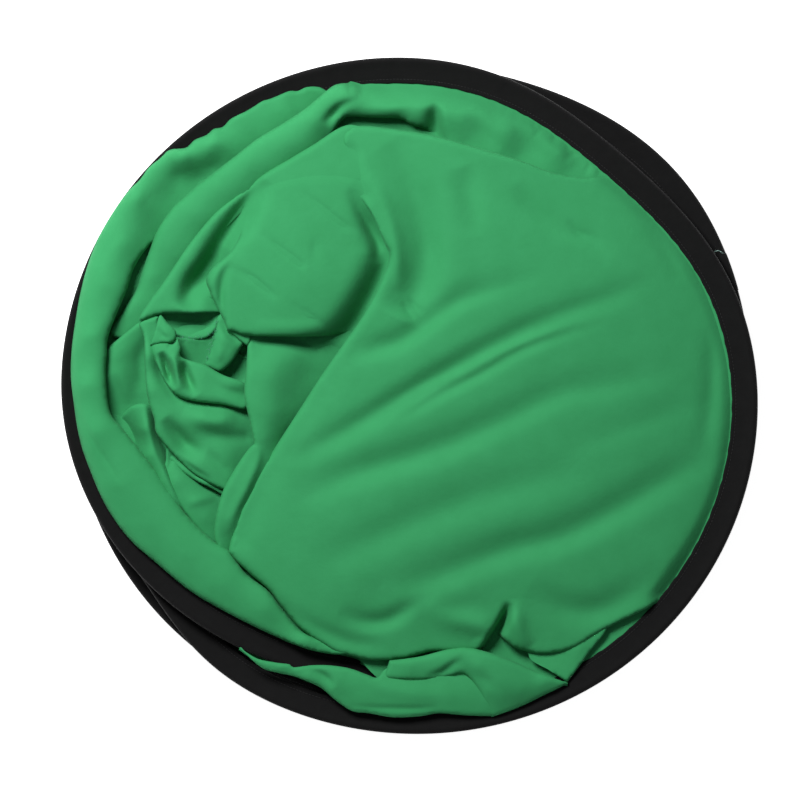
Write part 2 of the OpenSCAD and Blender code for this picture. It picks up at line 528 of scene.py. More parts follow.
def rolled(dist, roll):
    """How far a surface drops near an edge that rolls over."""
    reach = np.maximum(roll * ROLL_REACH, 1e-6)
    t = 1 - np.clip(dist / reach, 0, 1)
    return roll * (1 - np.sqrt(1 - t**2))


class Sheet:
    """Gathers the folds of one piece of cloth into one mesh."""

    def __init__(self, lowest=-1000):
        self.points = []
        self.faces = []
        self.lowest = lowest

    def fold(self, outline, heights=(), creases=(), surface=None, unevenness=0.5, seed=0,
             spacing=SPACING, lift=0.0, tuck=False):
        ring = spline(outline, True, spacing)
        low, high = ring[:, :2].min(0), ring[:, :2].max(0)
        rows = np.arange(low[1], high[1], spacing * 0.866)
        cells = []
        for i, y in enumerate(rows):
            x = np.arange(low[0] + spacing * 0.5 * (i % 2), high[0], spacing)
            cells.append(np.c_[x, np.full(len(x), y)])
        grid = np.concatenate(cells)
        grid = grid[inside(grid, ring)]
        gap = nearest(grid, ring, True)[0]
        grid = grid[gap > spacing * 0.6]
        flat = np.concatenate([ring[:, :2], grid])
        corners = [Vector(p) for p in flat]
        count = len(ring)
        found = geometry.delaunay_2d_cdt(corners, [], [list(range(count))], 1, 1e-5)
        flat = np.array([tuple(v) for v in found[0]])
        if surface is None:
            surface = Surface([p[:3] for p in outline] + [tuple(h) for h in heights])
        z = surface(flat) + crease_heights(flat, creases)
        if unevenness:
            z += ripple(flat, 34, unevenness, seed)
            z += ripple(flat, 13, unevenness * 0.16, seed + 3)
        if lift:
            hidden = ring[ring[:, 3] < 0.3]
            gap = np.min(np.hypot(*(flat[:, None] - hidden[None, :, :2]).transpose(2, 0, 1)), 1)
            z += lift * (2 * ramp(gap, 0, 18) - 1)
        if tuck:
            z = tucked(flat, z)
        z = np.maximum(z, self.lowest)
        dist, _, edge = nearest(flat, ring, True)
        z -= rolled(dist, np.maximum(edge[:, 3], 0))
        base = len(self.points)
        self.points += [(x, y, h) for (x, y), h in zip(flat, z)]
        self.faces += [tuple(base + i for i in face) for face in found[2]]
        self.turn_under(ring, flat, z, base)

    def turn_under(self, ring, flat, z, base):
        """Carries the cloth on round each rolled edge and back beneath itself."""
        count = len(ring)
        ahead = np.roll(ring, -1, 0)[:, :2] - np.roll(ring, 1, 0)[:, :2]
        ahead /= np.maximum(np.hypot(*ahead.T), 1e-9)[:, None]
        area = (ring[:, 0] * np.roll(ring[:, 1], -1) - ring[:, 1] * np.roll(ring[:, 0], -1)).sum()
        inward = np.c_[-ahead[:, 1], ahead[:, 0]] * (1 if area > 0 else -1)
        order = [int(np.argmin(((flat - p) ** 2).sum(1))) for p in ring[:, :2]]
        rows = [[base + k for k in order]]
        for inset, drop in ((0.15, 0.5), (0.7, 1.0), (1.7, 1.3)):
            start = len(self.points)
            for i in range(count):
                roll = max(ring[i, 3], 0)
                p = ring[i, :2] + inward[i] * inset * roll
                self.points.append((p[0], p[1], z[order[i]] - drop * roll))
            rows.append(list(range(start, start + count)))
        for above, below in zip(rows, rows[1:]):
            for i in range(count):
                j = (i + 1) % count
                if ring[i, 3] < 0.4 and ring[j, 3] < 0.4:
                    continue
                quad = (above[i], above[j], below[j], below[i])
                if len(set(quad)) == 4:
                    self.faces.append(quad if area < 0 else quad[::-1])

    def make(self, name):
        used = sorted({i for face in self.faces for i in face})
        number = {old: new for new, old in enumerate(used)}
        points = [tuple(c * MM for c in self.points[i]) for i in used]
        faces = [tuple(number[i] for i in face) for face in self.faces]
        return new_piece(name, points, faces, GREEN)


# Heights that the lobe, the shoulder and the cheek have in common: they are one swell of cloth.
SWELL = Surface([
    (-255, 90, 55), (-225, 84, 56), (-200, 86, 57), (-200, 150, 56), (-170, 195, 57),
    (-120, 230, 58), (-68, 262, 57),
    (-130, 160, 63), (-110, 110, 65), (-150, 100, 61), (-60, 150, 60), (-40, 220, 60),
    (-30, 262, 56), (21, 255, 57), (72, 240, 56), (140, 218, 49), (195, 215, 39), (240, 180, 37),
    (285, 110, 37), (310, 30, 37), (318, -50, 37), (300, -130, 38), (262, -196, 42),
    (200, -222, 44), (130, -240, 45), (60, -240, 46), (-20, -245, 46), (-80, -245, 46),
    (-140, -185, 50), (-170, -140, 50), (-140, -70, 52), (-100, -5, 54), (-60, 55, 57),
    (-25, 115, 59), (50, 180, 63), (130, 150, 61), (200, 120, 56), (50, 80, 61), (150, 40, 60),
    (240, 20, 52), (0, 0, 60), (100, -60, 58), (200, -80, 54), (250, -120, 47), (-60, -100, 58),
    (50, -160, 55), (140, -180, 51), (-80, -190, 54),
])

LOBE_EDGE = [
    (-179, -151), (-169, -115), (-152, -81), (-130, -45), (-108, -11), (-90, 17), (-72, 43),
    (-48, 77), (-33, 104), (-20, 137),
]

LOBE_CREASES = [
    # the two long drawn folds across the middle, and their neighbours
    crease([(-125, -68, 0), (-95, -53, -3.5), (-50, -28, -6.5), (2, 3, -8), (40, 25, -8),
            (77, 46, -7), (115, 65, -6), (150, 80, -4.5), (200, 98, -3), (245, 116, 0)], 12, 11),
    crease([(-40, -28, 0), (10, 4, 1), (50, 22, 1.5), (90, 43, 1.5), (130, 60, 1), (170, 76, 0)], 4, 4),
    crease([(-20, -30, 0), (30, 0, -3), (70, 21, -3.5), (115, 46, -2.5), (165, 64, -1), (200, 74, 0)], 5, 6),
    crease([(-62, 40, 0), (-35, 46, -5.5), (-10, 54, -7), (15, 71, -7.5), (40, 89, -6),
            (65, 101, -4), (102, 112, -1.5), (140, 125, 0)], 13, 9),
    crease([(-120, -108, 0), (-70, -84, -5), (-35, -72, -7.5), (2, -61, -7.5), (40, -48, -7),
            (90, -26, -6), (150, 2, -4.5), (200, 12, -3), (276, 27, 0)], 17, 13),
    crease([(-100, -170, 0), (-50, -150, -4), (0, -128, -5), (60, -104, -5), (130, -84, -3),
            (190, -70, 0)], 20, 17),
    crease([(-60, -215, 0), (0, -190, -3), (65, -166, -6), (102, -153, -7.5), (150, -141, -7.5),
            (210, -112, -6.5), (260, -82, -4.5), (312, -52, 0)], 18, 14),
    crease([(150, -60, 0), (200, -38, -1.5), (250, -20, -1.5), (305, -5, 0)], 16, 12),
    # the upright hollow below the top edge, and the ridge beside it
    crease([(-22, 252, 0), (-10, 232, -4), (6, 196, -9), (14, 164, -12), (16, 134, -13),
            (9, 106, -12), (-3, 86, -7), (-8, 76, 0)], 17, 20),
    crease([(-42, 222, 0), (-28, 196, 2.5), (-16, 160, 4), (-12, 130, 4), (-12, 104, 0)], 8, 7),
    crease([(52, 228, 0), (58, 209, -4), (64, 184, -3.5), (66, 158, 0)], 12, 14),
    crease([(105, 210, 0), (120, 190, -3), (150, 168, -3), (180, 155, -2), (205, 140, 0)], 12, 9),
    crease([(158, 176, 0), (168, 163, -2), (182, 158, -1), (195, 152, 0)], 4),
    # small pinches at the end of the upright hollow
    crease([(-8, 94, 0), (-2, 85, -2.4), (7, 76, 0)], 2.6),
    crease([(-1, 98, 0), (5, 89, -2.2), (14, 81, 0)], 2.6),
    # swells above the dark slit
    crease([(-70, -215, 0), (-45, -226, -5), (-20, -224, -6), (5, -208, -3), (30, -195, 0)], 10, 8),
    crease([(99, -206, 0), (97, -216, -12), (92, -228, -22), (84, -242, -28), (75, -258, -30)], 5, 4),
    crease([(15, -215, 0), (45, -224, 5), (72, -230, 6), (78, -240, 3)], 11),
    crease([(102, -205, 0), (106, -224, 7), (112, -242, 5), (120, -252, 0)], 9, 10),
    crease([(-30, -190, 0), (10, -204, 3), (50, -196, 2), (80, -176, 0)], 14),
    crease([(120, -190, 0), (155, -212, -5), (190, -214, -6), (230, -192, -3), (260, -170, 0)], 16, 14),
    crease([(-130, -205, 0), (-100, -228, -3), (-60, -246, -3), (-20, -250, 0)], 8),
    # slack beside the tape on the right
    crease([(300, 70, 0), (303, 30, -2.5), (300, -20, -2.5), (292, -60, 0)], 8, 10),
    crease([(225, 190, 0), (255, 150, -2), (275, 110, 0)], 9),
]

# the lobe's left flank turns down towards the deep valley
FLANK = [crease([(-170, -140, -4), (-133, -60, -3), (-92, 5, -3), (-52, 62, -2), (-28, 105, 0)], 9, 14)]

BIG_DROP = [
    crease([(-52, 216, 0), (-42, 192, -4), (-32, 168, -13), (-22, 138, -21), (-40, 95, -26),
            (-64, 60, -26), (-90, 40, -24)], 18, 16),
    crease([(-60, 206, 0), (-50, 186, -5), (-40, 168, -8), (-32, 150, -7), (-33, 132, 0)], 6, 6),
]

SHOULDER_CREASES = [
    crease([(-176, 142, 0), (-190, 120, -15), (-190, 95, -17), (-172, 78, -16)], 15, 16),
    crease([(-146, 218, 0), (-156, 204, -9), (-170, 181, -17), (-187, 156, -21), (-203, 130, -23),
            (-216, 112, -22), (-222, 96, -12), (-226, 86, 0)], 14, 9),
]

CHEEK_CREASES = [
    crease([(-146, 218, 0), (-156, 204, -9), (-170, 181, -15), (-183, 160, -11), (-194, 146, 0)], 14, 9),
    crease([(-115, 209, 0), (-90, 190, -1.3), (-68, 172, -1.5), (-50, 164, 0)], 3, 5),
    crease([(-150, 164, 0), (-128, 145, -1.6), (-112, 132, -2), (-103, 126, 0)], 4, 3),
    crease([(-178, 129, 0), (-158, 118, -1.6), (-140, 104, -1.2), (-128, 96, 0)], 3, 5),
    crease([(-92, 160, 0), (-95, 145, -1), (-92, 128, 0)], 6, 4),
    crease([(-120, 95, 0), (-95, 76, -1.5), (-75, 66, 0)], 4, 6),
    crease([(-184, 72, 0), (-188, 96, -5), (-186, 116, -3), (-178, 134, 0)], 3, 4),
    crease([(-196, 92, 0), (-197, 108, 2), (-190, 126, 2), (-180, 138, 0)], 4),
    crease([(-160, 70, 0), (-130, 68, 1.5), (-100, 68, 1.5), (-80, 70, 0)], 6),
]


def under_tape(first, last, reach, z, step=8):
    """Points along the inner edge of the upper coil's tape, reach beyond it, clockwise."""
    angles = np.arange(first, last, -step)
    travel = (START_ANGLE - angles) % 360
    r = edge_radius(travel) - TAPE_W + reach
    a = np.radians(angles)
    return [(x, y, z, 0) for x, y in zip(r * np.cos(a), r * np.sin(a))]


def gathers(first, last, step):
    """Small gathers where the cloth is sewn into the tape."""
    found = []
    for k, angle in enumerate(np.arange(first, last, -step)):
        a = math.radians(angle)
        r = float(edge_radius((START_ANGLE - angle) % 360)) - TAPE_W
        lean = 0.03 * math.sin(k * 2.3)
        length = 13 + 5 * math.sin(k * 1.9)
        line = [
            ((r + 4) * math.cos(a), (r + 4) * math.sin(a), -1.6),
            ((r - 5) * math.cos(a + lean / 2), (r - 5) * math.sin(a + lean / 2), -1.5),
            ((r - length) * math.cos(a + lean), (r - length) * math.sin(a + lean), 0),
        ]
        found.append(crease(line, 3 + math.sin(k * 1.3)))
    return found


def face_cloth():
    sheet = Sheet(FACE_LOWEST)
    # outer roll: the gathered edge at the top, round the left side to the lower edge
    sheet.fold(
        [(-88, 308, 41, 2), (-102, 309, 42, 2), (-112, 305, 41, 2), (-120, 305, 42, 2),
         (-130, 301, 41, 2), (-140, 297, 41, 2), (-147, 295, 42, 2), (-155, 290, 41, 2),
         (-165, 284, 42, 2.5), (-179, 277, 42, 2.5), (-187, 269, 41, 2), (-196, 267, 42, 2.5),
         (-203, 261, 41, 2), (-215, 256, 43, 3), (-224, 248, 43, 3), (-240, 246, 44, 4),
         (-249, 238, 45, 4), (-261, 228, 46, 5), (-270, 216, 46, 6), (-282, 204, 46, 6),
         (-299, 180, 47, 7), (-315, 150, 48, 7), (-327, 113, 49, 8), (-335, 70, 50, 8),
         (-339, 29, 50, 8), (-336, -8, 50, 8), (-330, -44, 49, 7), (-320, -74, 49, 7),
         (-303, -112, 48, 6), (-280, -144, 48, 6), (-254, -167, 47, 5), (-223, -193, 47, 5),
         (-194, -211, 47, 5), (-160, -229, 46, 5), (-125, -245, 46, 4), (-94, -256, 46, 4),
         (-65, -259, 45, 3), (-50, -250, 42, 0), (-82, -246, 42, 2), (-108, -236, 46, 5), (-128, -213, 48, 6),
         (-142, -195, 49, 6), (-164, -178, 49, 6), (-180, -156, 49, 6), (-198, -144, 50, 7),
         (-225, -117, 51, 7), (-249, -81, 52, 7), (-285, -35, 57, 7), (-299, -16, 60, 7),
         (-303, 20, 61, 7), (-302, 41, 61, 7), (-300, 61, 60, 7), (-283, 104, 56, 6),
         (-276, 126, 51, 5), (-264, 146, 43, 2), (-248, 162, 35, 0), (-225, 180, 33, 0),
         (-190, 205, 33, 0), (-150, 240, 33, 0), (-100, 280, 36, 0), (-80, 298, 38, 0)],
        [(-165, 268, 43), (-198, 252, 51), (-238, 239, 50), (-224, 242, 53), (-272, 196, 54),
         (-292, 150, 60), (-306, 110, 63), (-318, 60, 64), (-262, 196, 47), (-276, 152, 53),
         (-252, 214, 47), (-246, 190, 39), (-232, 219, 38), (-212, 218, 33), (-224, 204, 34), (-198, 228, 34),
         (-130, 285, 43), (-321, 10, 64), (-312, -36, 63), (-290, -88, 59),
         (-262, -127, 56), (-225, -160, 55), (-185, -188, 54), (-145, -214, 52), (-105, -242, 49),
         (-192, 230, 35), (-160, 248, 38)],
        [
            crease([(-337, -8, 0), (-317, -42, -1.3), (-300, -68, -1.3), (-285, -90, 0)], 2.5, 3),
            crease([(-200, 262, 1.5), (-185, 250, 1), (-170, 235, 0)], 5),
            crease([(-170, 280, 1.5), (-158, 266, 1), (-145, 252, 0)], 5),
            crease([(-128, 300, 1.3), (-120, 288, 1), (-112, 276, 0)], 5),
            crease([(-330, 60, 0), (-326, 20, -1.2), (-322, -15, 0)], 8, 4),
            crease([(-318, 130, 0), (-300, 150, -2), (-290, 175, 0)], 9),
        ],
        seed=2,
    )
    # sash and top roll: one long fold from the lower left up to the tape and along it
    sheet.fold(
        [(-300, 62, 40, 3), (-288, 84, 42, 5), (-275, 104, 43, 6), (-268, 124, 44, 6),
         (-260, 146, 46, 6), (-253, 164, 48, 6), (-243, 180, 49, 6), (-235, 190, 49, 6),
         (-225, 199, 49, 6), (-213, 210, 50, 6), (-200, 220, 50, 6), (-175, 239, 51, 6),
         (-152, 257, 51, 6), (-127, 272, 51, 6), (-103, 288, 51, 6), (-79, 308, 50, 5),
         (-70, 312, 47, 4), (-62, 313, 43, 2)]
        + under_tape(100, 42, 6, 33, 5)
        + [(192, 208, 34, 0), (150, 208, 40, 0), (110, 218, 43, 0),
         (70, 230, 44, 0), (38, 240, 42, 0), (28, 256, 40, 2), (18, 266, 42, 5), (2, 271, 46, 6),
         (-10, 277, 48, 6), (-38, 278, 49, 6), (-58, 279, 49, 6), (-68, 275, 49, 5),
         (-80, 258, 44, 0), (-110, 228, 43, 0), (-145, 205, 43, 0), (-180, 172, 42, 0),
         (-210, 140, 41, 0), (-235, 100, 40, 0), (-250, 70, 38, 0), (-275, 56, 36, 0)],
        [(-272, 92, 44), (-258, 118, 47), (-240, 150, 50), (-218, 182, 53), (-190, 210, 55),
         (-160, 232, 56), (-125, 252, 57), (-95, 275, 58), (-60, 298, 58), (-20, 296, 58),
         (20, 290, 56), (55, 282, 54), (100, 264, 49), (150, 244, 43), (60, 254, 44),
         (110, 240, 40), (158, 224, 37), (-248, 112, 43), (-232, 140, 47), (-206, 174, 50),
         (-176, 202, 52), (-138, 228, 53), (-104, 252, 54), (-228, 124, 40), (-200, 162, 43),
         (-170, 190, 45), (-130, 218, 46), (190, 228, 36)],
        [
            crease([(-86, 270, 0), (-76, 282, -8), (-66, 290, -5), (-50, 296, 0)], 4, 5),
            crease([(24, 300, 0), (26, 288, -8), (26, 276, -14), (28, 262, -12), (34, 250, -3)], 6, 9),
            crease([(45, 300, 0), (60, 280, -2), (75, 262, -3), (90, 245, 0)], 8),
            crease([(-56, 306, 1.5), (-50, 298, 0)], 5),
            crease([(4, 312, 2), (8, 300, 1.5), (12, 288, 0)], 7),
            crease([(100, 285, 0), (110, 262, -2.5), (135, 240, -2), (160, 230, 0)], 9),
            crease([(125, 288, 0), (150, 258, -2.5), (170, 236, -2), (185, 222, 0)], 6, 8),
            crease([(70, 305, 0), (82, 285, -1.5), (95, 268, 0)], 5),
        ] + gathers(101, 45, 2.7),
        seed=3, tuck=True,
    )
    # pocket on the left, in the shade of the outer roll
    sheet.fold(
        [(-314, -10, 34, 0), (-312, 40, 40, 0), (-302, 48, 44, 2), (-290, 58, 46, 3),
         (-280, 66, 47, 3), (-270, 73, 48, 3), (-258, 75, 46, 2), (-246, 66, 34, 0),
         (-243, 40, 31, 0), (-243, 0, 31, 0), (-258, -22, 30, 0), (-300, -34, 31, 0)],
        [(-296, 38, 46), (-286, 46, 46), (-278, 34, 40), (-272, 14, 34), (-264, 40, 35),
         (-290, 2, 37), (-272, -6, 31.5), (-300, 20, 44), (-286, 22, 42), (-300, -14, 33),
         (-268, 60, 44)],
        [
            crease([(-262, 60, 0), (-270, 42, -2), (-270, 20, -2), (-268, 4, 0)], 5, 6),
            crease([(-294, 30, 0), (-284, 10, 2), (-282, -8, 0)], 6),
        ],
        seed=4, spacing=2.0,
    )
    # folds at the lower left
    sheet.fold(
        [(-306, -30, 30, 0), (-292, -23, 31, 0.6), (-285, -16, 37, 2), (-277, -10, 45, 3),
         (-264, -8, 48, 3), (-250, -16, 38, 0), (-238, -45, 30, 0), (-222, -72, 29, 0),
         (-200, -95, 29, 0), (-190, -125, 29, 0), (-196, -150, 32, 0), (-230, -128, 32, 0),
         (-268, -88, 30, 0), (-302, -42, 28, 0)],
        [(-285, -32, 30), (-277, -42, 31), (-273, -18, 46), (-266, -34, 49), (-262, -60, 47), (-250, -86, 45),
         (-276, -56, 33), (-262, -88, 33), (-240, -112, 42), (-246, -120, 34)],
        [
            crease([(-288, -20, 0), (-284, -36, -4), (-276, -56, -3), (-266, -76, 0)], 6),
            crease([(-264, -10, 2), (-261, -30, 5), (-255, -54, 5), (-244, -78, 5), (-233, -104, 3),
                    (-224, -120, 0)], 2.6, 8),
            crease([(-256, -14, -2), (-251, -34, -12), (-243, -56, -12), (-236, -78, -9),
                    (-226, -104, 0)], 5, 4),
        ],
        seed=5, spacing=2.0,
    )
    sheet.fold(
        [(-249, -80, 41, 1), (-244, -66, 44, 2), (-243, -52, 45, 2), (-238, -46, 45, 2),
         (-224, -58, 34, 0), (-205, -76, 30, 0), (-186, -88, 29, 0), (-172, -112, 29, 0),
         (-184, -150, 32, 0), (-197, -147, 38, 1), (-212, -134, 42, 2), (-226, -116, 44, 2.5),
         (-238, -98, 44, 2.5), (-247, -86, 43, 1.5)],
        [(-232, -84, 48), (-216, -104, 47), (-204, -122, 44), (-206, -92, 38), (-190, -112, 34)],
        [
            crease([(-236, -56, 0), (-226, -68, -6), (-212, -82, -7), (-196, -94, -4), (-182, -104, 0)], 4),
            crease([(-240, -52, 0), (-239, -64, -3), (-242, -76, 0)], 3),
            crease([(-224, -110, 0), (-208, -104, 2), (-192, -100, 0)], 5),
        ],
        seed=6, spacing=2.0,
    )
    # two thin folds lying between that one and the big fold
    sheet.fold(
        [(-244, -56, 40, 1), (-232, -72, 43, 2), (-216, -84, 43, 2), (-198, -93, 42, 2),
         (-182, -101, 39, 1), (-176, -92, 32, 0), (-200, -70, 32, 0), (-228, -50, 34, 0)],
        [(-222, -70, 44), (-204, -82, 43)],
        [crease([(-234, -62, 0), (-216, -76, -3), (-196, -87, -2), (-184, -94, 0)], 2.2)],
        seed=18, spacing=1.8, unevenness=0.3,
    )
    # dark pocket with the sewn seam
    sheet.fold(
        [(-262, 76, 42, 0), (-240, 96, 44, 0), (-195, 98, 44, 0), (-186, 84, 40, 0),
         (-194, 67, 40, 2), (-199, 61, 39, 2), (-206, 57, 38, 2), (-220, 56, 38, 2),
         (-233, 60, 39, 2), (-245, 66, 40, 0)],
        [(-225, 78, 32), (-205, 78, 31), (-212, 66, 36), (-228, 68, 35)],
        [crease([(-245, 70, 0), (-225, 68, -3), (-208, 70, -4), (-196, 76, 0)], 4)],
        seed=7, spacing=1.6, unevenness=0.3,
    )
    sheet.fold(
        [(-236, 66, 33, 0), (-200, 68, 33, 0), (-196, 40, 31, 0), (-204, 22, 30, 0),
         (-236, 30, 30, 0)],
        [(-222, 54, 37), (-212, 46, 33), (-206, 36, 30.5), (-226, 40, 34)],
        seed=19, spacing=2.0, unevenness=0.4,
    )
    sheet.fold(
        [(-192, 78, 48, 2), (-194, 66, 48, 2), (-198, 54, 46, 2), (-202, 42, 46, 2),
         (-205, 31, 46, 2), (-199, 27, 47, 3), (-189, 24, 48, 4), (-178, 33, 49, 4),
         (-169, 47, 48, 4), (-160, 62, 42, 0), (-164, 78, 42, 0), (-182, 84, 45, 0)],
        [(-188, 56, 54), (-180, 66, 51), (-192, 40, 52), (-176, 48, 51), (-184, 34, 50)],
        [
            crease([(-188, 76, 0), (-182, 64, -4), (-174, 56, -3), (-168, 52, 0)], 3.5, 4),
            crease([(-196, 56, 0), (-190, 44, 1.5), (-190, 32, 0)], 4),
        ],
        seed=8, spacing=1.6, unevenness=0.3,
    )
    # the big fold of the knot
    sheet.fold(
        [(-270, 72, 51, 3), (-265, 56, 55, 4), (-264, 23, 57, 5), (-261, -4, 57, 5),
         (-255, -24, 56, 5), (-253, -37, 55, 5), (-242, -52, 53, 5), (-222, -73, 51, 5),
         (-203, -86, 49, 4), (-184, -95, 46, 3), (-184, -95, 46, 3), (-166, -80, 36, 0),
         (-152, -48, 32, 0), (-155, -14, 31, 0), (-165, 2, 30, 0), (-200, 4, 31, 0),
         (-236, 24, 38, 0), (-250, 66, 50, 1), (-251, 79, 52, 2), (-251, 79, 52, 2),
         (-258, 78, 52, 3)],
        [(-257, 40, 59), (-255, 5, 59), (-247, -25, 57), (-226, -50, 47), (-212, -66, 51),
         (-228, -14, 53), (-205, -18, 55), (-185, -22, 52), (-172, -34, 44), (-196, -42, 50),
         (-186, -66, 49), (-170, -60, 40), (-170, -10, 36), (-243, 10, 52)],
        [
            crease([(-259, 74, 0), (-255, 50, -2.5), (-248, 20, -4), (-236, 0, -2), (-226, -6, 0)], 4, 5),
            crease([(-244, -22, 0), (-234, -36, -7), (-224, -48, -7), (-212, -56, -3), (-204, -60, 0)], 7, 8),
            crease([(-216, -34, 0), (-200, -38, -2), (-185, -42, -3), (-166, -42, -3)], 7, 8),
            crease([(-226, -16, 0), (-208, -24, 3), (-188, -26, 3), (-172, -22, 0)], 8),
            crease([(-234, -60, 0), (-214, -75, -3.5), (-196, -86, 0)], 3, 4),
            crease([(-205, -55, 0), (-192, -66, -3), (-180, -80, 0)], 6),
        ],
        seed=9, spacing=1.8,
    )
    # the tongue over it
    sheet.fold(
        [(-260, 50, 54, 3), (-253, 33, 58, 4), (-242, 11, 59, 5), (-230, -1, 59, 5),
         (-213, -6, 58, 5), (-187, -9, 55, 5), (-164, -13, 50, 4), (-158, 2, 40, 0),
         (-166, 13, 48, 2), (-187, 21, 52, 3), (-205, 31, 54, 3), (-227, 38, 56, 3),
         (-228, 48, 57, 2), (-232, 58, 58, 2), (-232, 58, 58, 2), (-236, 52, 57, 2),
         (-247, 54, 58, 3), (-256, 53, 57, 3)],
        [(-247, 43, 61), (-247, 25, 61), (-234, 8, 61), (-208, 6, 58), (-183, 4, 55),
         (-232, 40, 62), (-217, 25, 56)],
        [
            crease([(-248, 44, 0), (-244, 34, -12), (-240, 22, -15), (-237, 12, -5), (-235, 6, 0)], 4, 4.5),
            crease([(-225, 35, 0), (-224, 24, -11), (-220, 13, -11), (-215, 4, -3), (-212, 0, 0)], 5, 5),
            crease([(-236, 42, 0), (-232, 30, 5), (-230, 16, 3), (-226, 6, 0)], 3.5),
            crease([(-242, 46, 0), (-236, 53, -2.5), (-230, 58, 0)], 2),
            crease([(-205, 20, 0), (-190, 8, -2), (-172, 2, -3), (-160, -2, 0)], 5, 6),
        ],
        seed=10, spacing=1.6, unevenness=0.3,
    )
    # the small peak
    sheet.fold(
        [(-249, 80, 57, 2), (-241, 72, 58, 2), (-233, 64, 58, 2), (-235, 54, 59, 2),
         (-247, 52, 60, 2), (-259, 50, 58, 1.5), (-259, 50, 58, 1.5), (-254, 64, 59, 1)],
        [(-243, 62, 62)],
        [crease([(-252, 68, 0), (-246, 60, -2.5), (-240, 55, 0)], 3)],
        seed=11, spacing=1.5, unevenness=0.2,
    )
    # strip under the cheek
    sheet.fold(
        [(-161, 62, 48, 2), (-163, 30, 54, 4), (-165, 1, 55, 4), (-160, -24, 55, 4),
         (-155, -48, 54, 3), (-155, -48, 54, 3), (-163, -56, 53, 4), (-178, -79, 52, 4),
         (-188, -99, 51, 4), (-194, -124, 50, 4), (-195, -142, 48, 4), (-188, -156, 45, 2),
         (-172, -152, 36, 0), (-150, -110, 32, 0), (-120, -50, 30, 0), (-85, 5, 29, 0),
         (-50, 55, 29, 0), (-70, 78, 30, 0), (-130, 82, 34, 0), (-158, 78, 38, 0)],
        [(-152, 28, 56), (-152, -10, 57), (-144, -42, 54), (-162, -84, 53), (-182, -124, 51),
         (-136, 22, 56), (-118, 38, 46), (-92, 46, 34), (-150, 54, 46), (-136, -16, 54),
         (-120, -2, 44), (-138, -64, 46), (-158, -104, 45), (-102, 22, 36), (-170, -134, 43),
         (-124, 22, 50)],
        [
            crease([(-152, -50, 0), (-151, -64, 3), (-160, -88, 3.5), (-174, -116, 3),
                    (-182, -140, 0)], 4, 6),
            crease([(-155, 58, -2), (-120, 56, -5), (-95, 52, -5)], 8),
        ],
        seed=12, spacing=2.2,
    )
    # shoulder, from the sash down to the knot
    sheet.fold(
        [(-270, 75, 50, 3), (-260, 94, 51, 4), (-245, 114, 52, 4), (-220, 151, 54, 4),
         (-195, 181, 55, 4), (-170, 201, 56, 4), (-145, 221, 57, 4), (-120, 236, 57, 4),
         (-95, 251, 57, 4), (-68, 268, 57, 3), (-50, 268, 56, 0), (-20, 250, 55, 0), (0, 200, 50, 0),
         (-10, 120, 48, 0), (-60, 74, 46, 0), (-100, 78, 46, 0), (-150, 82, 46, 0),
         (-193, 83, 54, 3), (-220, 82, 54, 4), (-249, 81, 53, 4)],
        creases=BIG_DROP + SHOULDER_CREASES + LOBE_CREASES,
        surface=SWELL, seed=13, unevenness=0.25,
    )
    # the cheek hanging over the strip
    sheet.fold(
        [(-154, 210, 57, 0), (-165, 172, 57, 0), (-174, 150, 57, 1.5), (-184, 138, 57, 4),
         (-196, 128, 57, 5), (-203, 116, 57, 5), (-199, 103, 57, 5), (-191, 86, 57, 5),
         (-184, 72, 57, 4), (-182, 65, 57, 3), (-182, 65, 57, 3), (-175, 64, 57, 3),
         (-162, 60, 57, 4), (-130, 59, 57, 4), (-100, 59, 57, 4), (-78, 60, 55, 3),
         (-50, 66, 50, 0), (-15, 90, 50, 0), (0, 135, 50, 0), (-15, 190, 55, 0), (-40, 220, 58, 0),
         (-80, 228, 58, 0), (-120, 224, 58, 0)],
        creases=BIG_DROP + CHEEK_CREASES + LOBE_CREASES,
        surface=SWELL, seed=13, unevenness=0.25, lift=1.0,
    )
    sheet.fold(
        [(-183, 66, 52, 1), (-175, 60, 51, 1.5), (-168, 54, 50, 1.5), (-161, 50, 49, 1.5),
         (-160, 62, 50, 0), (-170, 70, 52, 0)],
        seed=14, spacing=1.6, unevenness=0.2,
    )
    # the big lobe
    sheet.fold(
        [(-55, 208, 58, 0), (-60, 235, 58, 0), (-66, 256, 57, 2), (-60, 266, 56, 3),
         (-50, 269, 56, 4), (-30, 268, 56, 4), (21, 260, 56, 4), (72, 246, 55, 4),
         (113, 234, 52, 3.5), (143, 223, 48, 3), (174, 218, 43, 2), (197, 220, 38, 1)]
        + under_tape(46, -35, 6, 34)
        + [(272, -200, 34, 0), (266, -204, 36, 0.5), (266, -204, 36, 0.5),
           (250, -207, 42, 3), (230, -217, 42, 3), (201, -231, 42, 3),
         (185, -240, 42, 3), (160, -254, 41, 3), (130, -258, 41, 3), (105, -252, 41, 4),
         (88, -240, 41, 4), (74, -254, 41, 4), (50, -257, 42, 4), (23, -256, 43, 4),
         (-5, -263, 43, 4), (-30, -265, 43, 4), (-45, -264, 43, 4), (-60, -260, 44, 4),
         (-74, -256, 44, 3), (-84, -250, 44, 4), (-108, -234, 46, 6), (-127, -212, 47, 6),
         (-141, -194, 48, 6), (-160, -178, 48, 6), (-178, -160, 48, 5), (-180, -150, 48, 6)]
        + [(x, y, 50, 6) for x, y in LOBE_EDGE[1:-1]]
        + [(-20, 137, 56, 4), (-24, 150, 57, 3), (-30, 164, 58, 2), (-38, 182, 58, 1)],
        creases=LOBE_CREASES + FLANK,
        surface=SWELL, seed=13, unevenness=0.25, lift=1.8, tuck=True,
    )
